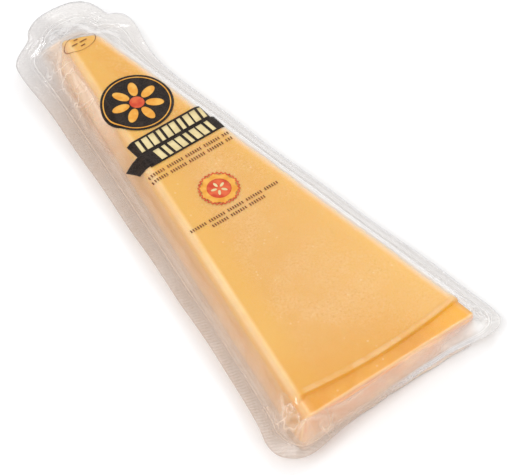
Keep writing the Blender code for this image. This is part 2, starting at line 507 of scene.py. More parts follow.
def upper_rings():
    """Ring after ring of the upper film, from the cut face's edge to the rim."""
    top = FOOT_Z + FILM_GAP
    rim = RIM_Z + 0.12
    seal_z = SEAL_HEIGHT + 0.25 + 0.35 * (RIM_Z - RIM_HEIGHT)
    drop = top - seal_z
    web = SEAL_OUT
    flange = REACH - SEAL_OUT
    round_out = np.minimum(0.9, 0.16 * web)
    outs = (
        np.zeros_like(web), 0.4 * round_out, 0.8 * round_out,
        0.18 * web, 0.36 * web, 0.58 * web,
        0.82 * web, 0.95 * web, web + 0.06 * flange,
        web + 0.45 * flange, web + 0.8 * flange, REACH,
    )
    heights = (
        top, top + FOOT_SLOPE * 0.4 * round_out, top + FOOT_SLOPE * 0.8 * round_out - 0.05,
        top - 0.10 * drop, top - 0.26 * drop, top - 0.52 * drop,
        top - 0.84 * drop, seal_z + 0.02 * drop, seal_z,
        seal_z * 0.45 + rim * 0.55, rim * 0.88 + seal_z * 0.12, rim,
    )
    out, height = spoke_curve(outs, heights, ring_stations())
    x = FOOT_X + WAY[:, 0] * out
    y = FOOT_Y + WAY[:, 1] * out
    beyond = out - SEAL_OUT
    reachable = smooth_step(3.0, 7.0, REACH - LEAD)
    lines = 0.26 * np.exp(-((beyond / 0.24) ** 2)) + 0.20 * np.exp(-(((beyond - 0.95) / 0.26) ** 2))
    height = height + lines * (0.4 + 0.6 * reachable)
    web = smooth_step(0.4, 2.0, out) * (1 - smooth_step(-1.2, 0.2, beyond))
    slack = 0.08 + 0.16 * smooth_step(-6.0, -12.0, x) + 0.16 * smooth_step(-60.0, -35.0, y)
    height = height + web * slack * ripple(x, y, scale=6.0, seed=51.0) * reachable
    flange = smooth_step(0.2, 2.0, beyond)
    height = height + flange * flange_wave(x, y)
    fade = 1 - smooth_step(0.93, 1.0, out / REACH)
    creases, worked = crease_height(x, y)
    off_cheese = fade * smooth_step(0.0, 1.2, out)
    height = height + creases * off_cheese
    marks = {
        "reach_share": out / SEAL_OUT,
        "worked": worked * fade,
        "slack": slackness(x, y) * off_cheese,
    }
    return np.stack((x, y, height), axis=2), marks


def flange_wave(x, y):
    """Gentle unevenness of the sealed rim, shared by both films."""
    return 0.15 * ripple(x, y, scale=11.0, seed=61.0) + 0.02 * ripple(x, y, scale=3.2, seed=67.0)


def lower_rings():
    """Ring after ring of the lower film, from under the cheese out to the rim."""
    base = np.full_like(REACH, FILM_THICKNESS / 2)
    rim = RIM_Z - 0.12
    seal_z = SEAL_HEIGHT - 0.15 + 0.35 * (RIM_Z - RIM_HEIGHT)
    side = np.minimum(EDGE_INSET, 0.25 * REACH) + SLANT
    slack = SEAL_OUT - side
    flange = REACH - SEAL_OUT
    outs = (
        np.zeros_like(REACH), 0.6 * side, side + 0.16,
        side + 0.22, side + 0.24 - 0.15 * SLANT, side + 0.30 - 0.25 * SLANT,
        side + 0.12 * slack, side + 0.45 * slack, SEAL_OUT,
        SEAL_OUT + 0.45 * flange, SEAL_OUT + 0.8 * flange, REACH,
    )
    heights = (
        base, base, base + 0.05,
        base + 1.2, base + 3.2, base + 5.0,
        base + 6.0, seal_z - 0.25, seal_z,
        seal_z * 0.45 + rim * 0.55, rim * 0.88 + seal_z * 0.12, rim,
    )
    out, height = spoke_curve(outs, heights, ring_stations())
    x = FOOT_X + WAY[:, 0] * out
    y = FOOT_Y + WAY[:, 1] * out
    flange = smooth_step(0.2, 2.0, out - SEAL_OUT)
    height = height + flange * flange_wave(x, y)
    marks = {
        "reach_share": out / SEAL_OUT,
        "worked": np.zeros_like(out),
        "slack": np.zeros_like(out),
    }
    return np.stack((x, y, height), axis=2), marks


def cheese_rings():
    """Rings down the cheese's sides from the cut face's edge, then under it."""
    floor = np.full_like(REACH, FILM_THICKNESS + 0.06)
    corner = np.minimum(EDGE_INSET - 0.14, 0.21 * REACH)
    middle = (FOOT_Z + floor) / 2
    outs = (
        np.zeros_like(corner), 0.35 * corner, 0.8 * corner, corner,
        corner + 0.12 * SLANT, corner + 0.5 * SLANT, corner + 0.88 * SLANT,
        corner + SLANT, corner + SLANT, corner + SLANT,
        0.6 * corner + SLANT, 0.1 * corner + SLANT,
    )
    heights = (
        FOOT_Z, FOOT_Z + FOOT_SLOPE * 0.35 * corner,
        FOOT_Z + FOOT_SLOPE * 0.8 * corner - 0.10, FOOT_Z - 0.9,
        FOOT_Z - 2.6, middle, floor + 3.0,
        floor + 1.2, floor + 0.5, floor + 0.05,
        floor, floor,
    )
    stations = np.concatenate((
        np.linspace(0.03, 0.33, 10), np.linspace(0.37, 0.80, 16), np.linspace(0.84, 1.0, 8),
    ))
    out, height = spoke_curve(outs, heights, stations)
    side = smooth_step(0.3, 1.5, FOOT_Z - height) * smooth_step(0.1, 0.6, height - floor)
    x = FOOT_X + WAY[:, 0] * out
    y = FOOT_Y + WAY[:, 1] * out
    bulge = 0.10 * ripple(FOOT_X, FOOT_Y, scale=12.0, seed=71.0)
    out = out + side * (bulge - 0.05 + 0.07 * ripple(x, y, height, scale=2.6, seed=73.0))
    return np.stack((FOOT_X + WAY[:, 0] * out, FOOT_Y + WAY[:, 1] * out, height), axis=2)


# --------------------------------------------------------------------- materials

def new_material(name):
    """An empty node material."""
    material = bpy.data.materials.new(name)
    material.use_nodes = True
    nodes = material.node_tree.nodes
    nodes.clear()
    return material, nodes, material.node_tree.links


def new_group(name, inputs, outputs):
    """An empty shader node group with named inputs and outputs."""
    group = bpy.data.node_groups.new(name, "ShaderNodeTree")
    for side, sockets in (("INPUT", inputs), ("OUTPUT", outputs)):
        for label, kind in sockets:
            group.interface.new_socket(label, in_out=side, socket_type="NodeSocket" + kind)
    entry = group.nodes.new("NodeGroupInput")
    leave = group.nodes.new("NodeGroupOutput")
    return group, group.nodes, group.links, entry.outputs, leave.inputs


def use_group(nodes, links, group, **values):
    """A group's node, its inputs linked to sockets or set to plain values."""
    made = nodes.new("ShaderNodeGroup")
    made.node_tree = group
    for key, value in values.items():
        socket = made.inputs[key.replace("_", " ").title()]
        if isinstance(value, (int, float, tuple)):
            socket.default_value = value
        else:
            links.new(value, socket)
    return made.outputs


def noise_node(nodes, links, vector, scale, detail=2.0, roughness=0.55, output="Fac"):
    """A noise texture read at a vector, its scale in features per metre."""
    made = nodes.new("ShaderNodeTexNoise")
    if isinstance(scale, (int, float)):
        made.inputs["Scale"].default_value = scale
    else:
        links.new(scale, made.inputs["Scale"])
    made.inputs["Detail"].default_value = detail
    made.inputs["Roughness"].default_value = roughness
    links.new(vector, made.inputs["Vector"])
    return made.outputs[output]


def ranged(nodes, links, value, low, high, out_low=0.0, out_high=1.0, smooth=True):
    """A value mapped from one range to another."""
    made = nodes.new("ShaderNodeMapRange")
    made.interpolation_type = "SMOOTHSTEP" if smooth else "LINEAR"
    links.new(value, made.inputs["Value"])
    for name, number in (("From Min", low), ("From Max", high),
                         ("To Min", out_low), ("To Max", out_high)):
        made.inputs[name].default_value = number
    return made.outputs["Result"]


def maths(nodes, links, operation, first, second=None, third=None, clamp=False):
    """A maths node on sockets or plain numbers."""
    made = nodes.new("ShaderNodeMath")
    made.operation = operation
    made.use_clamp = clamp
    for index, value in enumerate((first, second, third)):
        if value is None:
            continue
        if isinstance(value, (int, float)):
            made.inputs[index].default_value = value
        else:
            links.new(value, made.inputs[index])
    return made.outputs["Value"]


def product(nodes, links, *values):
    """Several values multiplied together."""
    total = values[0]
    for value in values[1:]:
        total = maths(nodes, links, "MULTIPLY", total, value)
    return total


def blended(nodes, links, share, first, second):
    """A colour part of the way from one colour to another."""
    made = nodes.new("ShaderNodeMix")
    made.data_type = "RGBA"
    if isinstance(share, (int, float)):
        made.inputs[0].default_value = share
    else:
        links.new(share, made.inputs[0])
    for socket, colour in ((made.inputs[6], first), (made.inputs[7], second)):
        if isinstance(colour, tuple):
            socket.default_value = (*colour, 1.0)
        else:
            links.new(colour, socket)
    return made.outputs[2]


def wheel_coordinates(nodes, links):
    """Object coordinates moved to the wheel's axis."""
    source = nodes.new("ShaderNodeTexCoord")
    mapping = nodes.new("ShaderNodeMapping")
    mapping.inputs["Location"].default_value = (-AXIS_X, -AXIS_Y, -BASE_Z)
    links.new(source.outputs["Object"], mapping.inputs["Vector"])
    return mapping.outputs["Vector"]


def plan_masks_group():
    """A shared measure of the plan: how far past each of the wedge's edges a spot lies."""
    names = ("Past Left", "Past Right", "Past Tip", "Past End", "Past Edge", "Radius")
    group, nodes, links, entry, leave = new_group(
        "plan_masks", [("Vector", "Vector")], [(name, "Float") for name in names])
    parts = nodes.new("ShaderNodeSeparateXYZ")
    links.new(entry["Vector"], parts.inputs["Vector"])
    x, y = parts.outputs["X"], parts.outputs["Y"]
    inward = maths(nodes, links, "MULTIPLY", y, EDGE_SLOPE)
    left = maths(nodes, links, "SUBTRACT", inward, x)
    right = maths(nodes, links, "ADD", inward, x)
    tip = maths(nodes, links, "ADD", maths(
        nodes, links, "MULTIPLY_ADD", x, TIP_SLANT, y), TIP_RADIUS * MM)
    end = maths(nodes, links, "MULTIPLY_ADD", y, -1.0, -RIND_RADIUS * MM)
    edge = maths(nodes, links, "MAXIMUM", maths(nodes, links, "MAXIMUM", left, right),
                 maths(nodes, links, "MAXIMUM", tip, end))
    radius = maths(nodes, links, "SQRT", maths(
        nodes, links, "MULTIPLY_ADD", x, x, maths(nodes, links, "MULTIPLY", y, y)))
    for name, value in zip(names, (left, right, tip, end, edge, radius)):
        links.new(value, leave[name])
    return group


def cloud_group():
    """A shared unevenness: a broad cloud and a fine grain, one six times the other."""
    group, nodes, links, entry, leave = new_group(
        "cloud_and_grain", [("Vector", "Vector"), ("Scale", "Float")],
        [("Cloud", "Float"), ("Grain", "Float")])
    finer = maths(nodes, links, "MULTIPLY", entry["Scale"], 6.0)
    links.new(noise_node(nodes, links, entry["Vector"], entry["Scale"]), leave["Cloud"])
    links.new(noise_node(nodes, links, entry["Vector"], finer, 2.0, 0.65), leave["Grain"])
    return group


def crinkle_group():
    """A shared pattern: the sharp, faceted crinkles of slack film."""
    group, nodes, links, entry, leave = new_group(
        "film_crinkle", [("Vector", "Vector")], [("Ridge", "Float"), ("Crest", "Float")])
    shift = nodes.new("ShaderNodeVectorMath")
    shift.operation = "MULTIPLY_ADD"
    wander = noise_node(nodes, links, entry["Vector"], 240.0, 0.0, output="Color")
    wander.node.noise_dimensions = "2D"
    links.new(wander, shift.inputs[0])
    shift.inputs[1].default_value = (0.005, 0.005, 0.005)
    links.new(entry["Vector"], shift.inputs[2])
    cells = nodes.new("ShaderNodeTexVoronoi")
    cells.feature = "DISTANCE_TO_EDGE"
    cells.voronoi_dimensions = "2D"
    cells.inputs["Scale"].default_value = 230.0
    links.new(shift.outputs["Vector"], cells.inputs["Vector"])
    for name, width in (("Ridge", 0.16), ("Crest", 0.055)):
        links.new(ranged(nodes, links, cells.outputs["Distance"], 0.0, width, 1.0, 0.0),
                  leave[name])
    return group


def knurl_group():
    """A shared pattern: the fine ribs that the sealing jaws press into the rim."""
    group, nodes, links, entry, leave = new_group(
        "seal_knurl", [("Vector", "Vector"), ("Pitch", "Float")], [("Relief", "Float")])
    parts = nodes.new("ShaderNodeSeparateXYZ")
    links.new(entry["Vector"], parts.inputs["Vector"])
    turn = maths(nodes, links, "DIVIDE", 2 * math.pi, entry["Pitch"])
    waves = []
    for across, along in ((0.6, 0.8), (0.92, -0.38)):
        way = maths(nodes, links, "MULTIPLY_ADD", parts.outputs["X"], across, maths(
            nodes, links, "MULTIPLY", parts.outputs["Y"], along))
        waves.append(maths(nodes, links, "SINE", maths(nodes, links, "MULTIPLY", way, turn)))
    crossed = maths(nodes, links, "MULTIPLY", waves[1], 0.12)
    relief = maths(nodes, links, "MULTIPLY_ADD", waves[0], 0.38, crossed)
    links.new(maths(nodes, links, "ADD", relief, 0.5), leave["Relief"])
    return group


PASTE_PALE_AND_SHEEN = (0.785, 0.457, 0.150)
PASTE_MID = (0.765, 0.415, 0.092)
PASTE_DEEP = (0.755, 0.350, 0.026)
PASTE_PAINTED_LIGHT = (0.85, 0.505, 0.130)
PASTE_EDGE = (0.81, 0.468, 0.098)
EDGE_PAINTED_HIGHLIGHT = (0.95, 0.71, 0.36)
RIND_AMBER = (0.77, 0.350, 0.034)
RIND_GOLD = (0.83, 0.43, 0.060)
RIND_PAINTED_LIGHT = (0.88, 0.44, 0.022)
RIND_TAN = (0.84, 0.52, 0.28)
RIND_BLUSH = (0.74, 0.39, 0.20)
RIND_FOOT = (0.83, 0.64, 0.51)
SIDE_TAN = (0.79, 0.46, 0.185)
SIDE_PAINTED_LIGHT = (0.96, 0.60, 0.28)
MILK_PAINTED_BOUNCE = (0.95, 0.735, 0.555)
MILK_PAINTED_SHADE = (0.69, 0.535, 0.425)
MILK_COOL = (0.80, 0.775, 0.765)
MILK_PAINTED_LIGHT = (0.95, 0.93, 0.91)


def paste_colour(nodes, links, spot, masks, cloud):
    """The cut face's colour: paler inside, partly as painted sheen, and lighter to the right as painted
    light; deeper at its rim, amber on the rind.
    """
    parts = nodes.new("ShaderNodeSeparateXYZ")
    links.new(spot, parts.inputs["Vector"])
    broad = noise_node(nodes, links, spot, 55.0, 2.0)
    patch, grain = cloud["Cloud"], cloud["Grain"]
    uneven = ranged(nodes, links, broad, 0.35, 0.66)

    # The paler, mottled middle is partly the paste's own uneven tone and partly a painted soft sheen of
    # the film over the face.
    middle = ranged(nodes, links, masks["Past Edge"], -0.020, -0.003, 1.0, 0.0)
    pale = maths(nodes, links, "MULTIPLY", middle, maths(
        nodes, links, "MULTIPLY_ADD", uneven, 0.75, 0.30), clamp=True)
    colour = blended(nodes, links, pale, PASTE_MID, PASTE_PALE_AND_SHEEN)
    # Painted light: the face is made lighter towards the right and the rind end, where the light falls
    # more strongly.
    painted_light_right = product(nodes, links, ranged(nodes, links, parts.outputs["X"], -0.006, 0.034, 0, 0.85),
                    ranged(nodes, links, parts.outputs["Y"], -0.08, -0.20, 0.45, 1.0))
    colour = blended(nodes, links, painted_light_right, colour, PASTE_PAINTED_LIGHT)
    tip = ranged(nodes, links, parts.outputs["Y"], -0.110, -0.070, 0.0, 0.55)
    colour = blended(nodes, links, tip, colour, PASTE_DEEP)

    patches = ranged(nodes, links, patch, 0.40, 0.66, 0.0, 0.30)
    colour = blended(nodes, links, patches, colour, (0.80, 0.48, 0.16))
    clumps = ranged(nodes, links, broad, 0.42, 0.58, 0.12, 0.42)
    grains = maths(nodes, links, "MULTIPLY", ranged(nodes, links, grain, 0.50, 0.64), clumps)
    colour = blended(nodes, links, grains, colour, (0.84, 0.55, 0.24))
    pits = maths(nodes, links, "MULTIPLY", ranged(nodes, links, grain, 0.42, 0.34), clumps)
    colour = blended(nodes, links, pits, colour, (0.66, 0.33, 0.07))

    rim = ranged(nodes, links, masks["Past Left"], -0.014, -0.004, 0.0, 0.75)
    colour = blended(nodes, links, rim, colour, PASTE_EDGE)
    # Painted light: the face is lighter and yellower just inside its right edge.
    rim = ranged(nodes, links, masks["Past Right"], -0.008, -0.003, 0.0, 0.35)
    colour = blended(nodes, links, rim, colour, (0.87, 0.53, 0.135))
    near_rind = ranged(nodes, links, masks["Radius"], 0.186, 0.2105, 0.0, 0.55)
    colour = blended(nodes, links, maths(nodes, links, "MULTIPLY", near_rind, ranged(
        nodes, links, parts.outputs["X"], 0.026, 0.004, 0.2, 1.0)), colour, PASTE_DEEP)

    # Painted highlight: the lip's rounded slope is drawn paler, as if catching the light, and unevenly
    # bright along it.
    lip = product(nodes, links, ranged(nodes, links, masks["Radius"], 0.2104, 0.2111),
                  ranged(nodes, links, masks["Radius"], 0.2126, 0.2129, 0.80, 0.0),
                  ranged(nodes, links, masks["Past Left"], -0.0045, -0.0020, 1.0, 0.0),
                  ranged(nodes, links, patch, 0.34, 0.62, 0.35, 1.15))
    colour = blended(nodes, links, lip, colour, (0.81, 0.49, 0.19))
    band = ranged(nodes, links, masks["Radius"], 0.2126, 0.2131)
    amber = blended(nodes, links, ranged(nodes, links, patch, 0.36, 0.68, 0.0, 0.45),
                    RIND_AMBER, RIND_GOLD)
    # Painted light: the amber band is made brighter towards its right end.
    amber = blended(nodes, links, ranged(nodes, links, parts.outputs["X"], 0.010, 0.032, 0, 0.9),
                    amber, RIND_PAINTED_LIGHT)
    colour = blended(nodes, links, band, colour, amber)
    return colour, broad, parts.outputs["Z"]


def cheese_material(plan_masks, cloud_and_grain):
    """Aged paste with its rounded edges, its plainer sides and its rind."""
    material, nodes, links = new_material("aged_paste")
    output = nodes.new("ShaderNodeOutputMaterial")
    shader = nodes.new("ShaderNodeBsdfPrincipled")
    links.new(shader.outputs["BSDF"], output.inputs["Surface"])
    spot = wheel_coordinates(nodes, links)
    masks = use_group(nodes, links, plan_masks, vector=spot)
    cloud = use_group(nodes, links, cloud_and_grain, vector=spot, scale=210.0)
    colour, broad, z = paste_colour(nodes, links, spot, masks, cloud)
    grain = cloud["Grain"]

    # Painted highlight: a pale band along the rounded left edge, where it catches the light.
    painted_ridge_highlight = product(nodes, links, ranged(nodes, links, masks["Past Left"], -0.0024, -0.0006),
                    ranged(nodes, links, masks["Past Left"], 0.0004, 0.0018, 1.0, 0.0),
                    ranged(nodes, links, masks["Radius"], 0.2080, 0.2135, 1.0, 0.60),
                    ranged(nodes, links, masks["Radius"], 0.100, 0.190, 0.65, 1.0),
                    ranged(nodes, links, broad, 0.38, 0.60, 0.70, 1.0))
    colour = blended(nodes, links, painted_ridge_highlight, colour, EDGE_PAINTED_HIGHLIGHT)
    # Painted highlight: the face turns paler along its right edge, in place of the film's sheen there.
    painted_far_edge_highlight = product(nodes, links, ranged(nodes, links, masks["Past Right"], -0.004, -0.0006),
                       ranged(nodes, links, masks["Radius"], 0.2105, 0.2130, 0.80, 0.0))
    colour = blended(nodes, links, painted_far_edge_highlight, colour, EDGE_PAINTED_HIGHLIGHT)

    down = ranged(nodes, links, z, 0.0160, 0.0135)
    side = maths(nodes, links, "MULTIPLY", down, ranged(
        nodes, links, masks["Past Edge"], -0.0012, -0.0002))
    # Painted light: the sides turn lighter and peachier towards the tip.
    lit = ranged(nodes, links, masks["Radius"], 0.110, 0.055)
    colour = blended(nodes, links, side, colour, blended(nodes, links, lit, SIDE_TAN, SIDE_PAINTED_LIGHT))
    rind_side = product(nodes, links, ranged(nodes, links, masks["Past End"], -0.0006, 0.0001),
                        ranged(nodes, links, z, 0.0162, 0.0154))
    rind = blended(nodes, links, ranged(nodes, links, broad, 0.42, 0.60), RIND_BLUSH, RIND_TAN)
    rind = blended(nodes, links, ranged(nodes, links, z, 0.0050, 0.0025), rind, RIND_FOOT)
    colour = blended(nodes, links, rind_side, colour, rind)

    # Painted highlight: a thin bright line just inside the rind end's top edge.
    painted_end_highlight = product(nodes, links, ranged(nodes, links, masks["Past End"], -0.0012, -0.0006),
                       ranged(nodes, links, masks["Past End"], -0.0002, 0.0002, 0.80, 0.0))
    colour = blended(nodes, links, painted_end_highlight, colour, (0.90, 0.60, 0.26))

    flecks = nodes.new("ShaderNodeTexVoronoi")
    flecks.inputs["Scale"].default_value = 420.0
    links.new(spot, flecks.inputs["Vector"])
    crystal = maths(nodes, links, "MULTIPLY", ranged(
        nodes, links, flecks.outputs["Distance"], 0.20, 0.06, 0.0, 0.55),
        ranged(nodes, links, cloud["Cloud"], 0.52, 0.62))
    colour = blended(nodes, links, crystal, colour, (0.88, 0.66, 0.38))
    links.new(colour, shader.inputs["Base Color"])

    rough = ranged(nodes, links, cloud["Cloud"], 0.3, 0.7, 0.40, 0.58, smooth=False)
    links.new(rough, shader.inputs["Roughness"])
    shader.inputs["Subsurface Weight"].default_value = 0.35
    shader.inputs["Subsurface Radius"].default_value = (1.0, 0.45, 0.16)
    shader.inputs["Subsurface Scale"].default_value = 0.0030
    shader.inputs["Specular IOR Level"].default_value = 0.12

    relief = maths(nodes, links, "MULTIPLY_ADD", grain, 0.8, cloud["Cloud"])
    bump = nodes.new("ShaderNodeBump")
    bump.inputs["Strength"].default_value = 0.45
    bump.inputs["Distance"].default_value = 0.00030
    links.new(relief, bump.inputs["Height"])
    links.new(bump.outputs["Normal"], shader.inputs["Normal"])
    return material


def film_skin_group(plan_masks, cloud_and_grain, knurl, crinkle):
    """Both films' look: how milky, of what colour, how rough and how ribbed they are, with painted light,
    shade and highlights in the milk.
    """
    group, nodes, links, entry, leave = new_group(
        "film_skin",
        [("Vector", "Vector"), ("Reach", "Float"), ("Worked", "Float"), ("Slack", "Float"),
         ("Web Haze", "Float"), ("Rim Haze", "Float"), ("Face Roughness", "Float"),
         ("Seal Line", "Float")],
        [("Haze", "Float"), ("Milk", "Color"), ("Roughness", "Float"), ("Relief", "Float"),
         ("Shine", "Float")])
    spot, reach = entry["Vector"], entry["Reach"]
    parts = nodes.new("ShaderNodeSeparateXYZ")
    links.new(spot, parts.inputs["Vector"])
    x, y = parts.outputs["X"], parts.outputs["Y"]
    masks = use_group(nodes, links, plan_masks, vector=spot)
    cloud = use_group(nodes, links, cloud_and_grain, vector=spot, scale=140.0)
    ribs = use_group(nodes, links, knurl, vector=spot, pitch=0.0011)["Relief"]
    creased = use_group(nodes, links, crinkle, vector=spot)
    crinkled = maths(nodes, links, "MULTIPLY", creased["Ridge"], entry["Slack"])
    painted_crest_glints = product(nodes, links, creased["Crest"], entry["Slack"], ranged(
        nodes, links, cloud["Cloud"], 0.42, 0.58))

    off = ranged(nodes, links, masks["Past Edge"], -0.0020, 0.0008)
    rim = ranged(nodes, links, reach, 1.04, 1.12)
    far_side = ranged(nodes, links, masks["Past Right"], -0.0045, 0.0)
    ribbed = product(nodes, links, rim, ranged(nodes, links, x, 0.030, -0.004, 0.10, 1.0),
                     ranged(nodes, links, y, -0.090, -0.190, 0.30, 1.0))

    web = product(nodes, links, ranged(nodes, links, reach, 0.10, 0.95), entry["Web Haze"])
    haze = maths(nodes, links, "MULTIPLY_ADD", rim, maths(
        nodes, links, "SUBTRACT", entry["Rim Haze"], entry["Web Haze"]), web)
    haze = maths(nodes, links, "MULTIPLY", haze, ranged(
        nodes, links, far_side, 0.0, 1.0, 1.0, 0.55))
    # Painted highlight: extra milk over the rounded left edge of the cheese.
    left = product(nodes, links, ranged(nodes, links, masks["Past Left"], -0.0014, 0.0004),
                   ranged(nodes, links, masks["Past Left"], 0.0020, 0.0040, 0.08, 0.0))
    # Painted light: more milk beside the tip's left side, over what would be shade between the cheese and
    # the web.
    painted_tip_fill = product(nodes, links, ranged(nodes, links, masks["Past Left"], 0.0005, 0.0020),
                       ranged(nodes, links, masks["Past Left"], 0.0035, 0.0075, 0.34, 0.0),
                       ranged(nodes, links, masks["Past Tip"], -0.002, 0.004, 1.0, 0.2),
                       ranged(nodes, links, y, -0.100, -0.065))
    left = maths(nodes, links, "MAXIMUM", left, painted_tip_fill)
    haze = maths(nodes, links, "ADD", haze, left)
    # Painted reflection: milk along the right edge, whitening it as the film's reflection would.
    right = product(nodes, links, ranged(nodes, links, masks["Past Right"], -0.0038, -0.0004),
                    ranged(nodes, links, masks["Past Right"], 0.0002, 0.0024, 0.23, 0.07),
                    ranged(nodes, links, masks["Radius"], 0.2095, 0.2120, 1.0, 0.25))
    haze = maths(nodes, links, "MAXIMUM", haze, right)
    # Painted light: more milk beyond the rind end towards the right.
    painted_far_end_light = product(nodes, links, ranged(nodes, links, masks["Past End"], 0.0, 0.0016),
                      ranged(nodes, links, x, 0.002, 0.032, 0.0, 0.45))
    haze = maths(nodes, links, "MAXIMUM", haze, painted_far_end_light)
    tip = ranged(nodes, links, masks["Past Tip"], -0.0012, 0.0010, 0.0, 0.12)
    haze = maths(nodes, links, "MAXIMUM", haze, tip)
    haze = maths(nodes, links, "MULTIPLY", haze, ranged(
        nodes, links, cloud["Cloud"], 0.3, 0.7, 0.80, 1.20))
    haze = maths(nodes, links, "MULTIPLY", haze, maths(nodes, links, "MULTIPLY_ADD", ribbed, maths(
        nodes, links, "MULTIPLY_ADD", ribs, 0.40, -0.20), 1.0))
    for centre, half_width, gain in ((1.0, 0.026, 0.34), (1.105, 0.022, 0.24)):
        away = maths(nodes, links, "ABSOLUTE", maths(nodes, links, "SUBTRACT", reach, centre))
        line = ranged(nodes, links, away, 0.0, half_width, gain, 0.0)
        haze = maths(nodes, links, "MULTIPLY_ADD", line, entry["Seal Line"], haze)
    # Painted highlight: a thin milky line along the rind end's top edge.
    painted_end_line = maths(nodes, links, "ABSOLUTE", masks["Past End"])
    haze = maths(nodes, links, "MULTIPLY_ADD", ranged(
        nodes, links, painted_end_line, 0.0, 0.0009, 0.13, 0.0), entry["Seal Line"], haze)
    # Milk along the creases: partly the whitening of worked film, partly painted highlights on the folds.
    haze = maths(nodes, links, "MULTIPLY_ADD", entry["Worked"], 0.24, haze)
    haze = maths(nodes, links, "MULTIPLY_ADD", crinkled, 0.08, haze)
    # Painted highlights: thin white glints on the crests of slack, crinkled film.
    haze = maths(nodes, links, "MULTIPLY_ADD", painted_crest_glints, 0.32, haze, clamp=True)
    links.new(haze, leave["Haze"])

    # Painted light: the milk turns warm and light close to the cheese, for the cheese's bounce light in
    # the web.
    painted_bounce = product(nodes, links, ranged(nodes, links, masks["Past Edge"], 0.004, 0.010, 0.90, 0.0),
                   ranged(nodes, links, masks["Past Tip"], 0.001, 0.005, 1.0, 0.0),
                   ranged(nodes, links, reach, 0.90, 1.10, 1.0, 0.0))
    # Painted light: the milk is whiter towards the right of the front.
    front = product(nodes, links, ranged(nodes, links, masks["Past End"], 0.0, 0.003),
                    ranged(nodes, links, x, 0.0, 0.030, 0.0, 0.35))
    # Painted shade: the milk turns darker and tan on the left half away from the tip, where the film is
    # shaded and tinted by the cheese's bounce light.
    tan = maths(nodes, links, "MULTIPLY", ranged(nodes, links, x, 0.012, -0.010),
                ranged(nodes, links, y, -0.030, -0.070))
    milk = blended(nodes, links, tan, MILK_COOL, MILK_PAINTED_SHADE)
    milk = blended(nodes, links, painted_bounce, milk, MILK_PAINTED_BOUNCE)
    milk = blended(nodes, links, front, milk, MILK_PAINTED_LIGHT)
    milk = blended(nodes, links, ranged(nodes, links, x, 0.004, 0.030, 0.0, 0.6), milk, MILK_COOL)
    # Painted light: the milk is whiter on the far right side.
    links.new(blended(nodes, links, far_side, milk, MILK_PAINTED_LIGHT), leave["Milk"])

    rough = maths(nodes, links, "MULTIPLY_ADD", off, maths(
        nodes, links, "SUBTRACT", 0.095, entry["Face Roughness"]), entry["Face Roughness"])
    rough = maths(nodes, links, "MULTIPLY_ADD", ribbed, 0.20, rough)
    links.new(maths(nodes, links, "ADD", rough, ranged(
        nodes, links, cloud["Grain"], 0.3, 0.7, -0.02, 0.02)), leave["Roughness"])

    relief = maths(nodes, links, "MULTIPLY_ADD", cloud["Grain"], 0.07, maths(
        nodes, links, "MULTIPLY", cloud["Cloud"], 0.45))
    relief = maths(nodes, links, "MULTIPLY_ADD", maths(
        nodes, links, "MULTIPLY", ribs, ribbed), 0.28, relief)
    relief = maths(nodes, links, "MULTIPLY_ADD", crinkled, 1.2, relief)
    links.new(relief, leave["Relief"])
    links.new(product(nodes, links, ranged(nodes, links, off, 0.0, 1.0, 0.45, 1.0),
                      ranged(nodes, links, ribbed, 0.0, 1.0, 1.0, 0.6)), leave["Shine"])
    return group


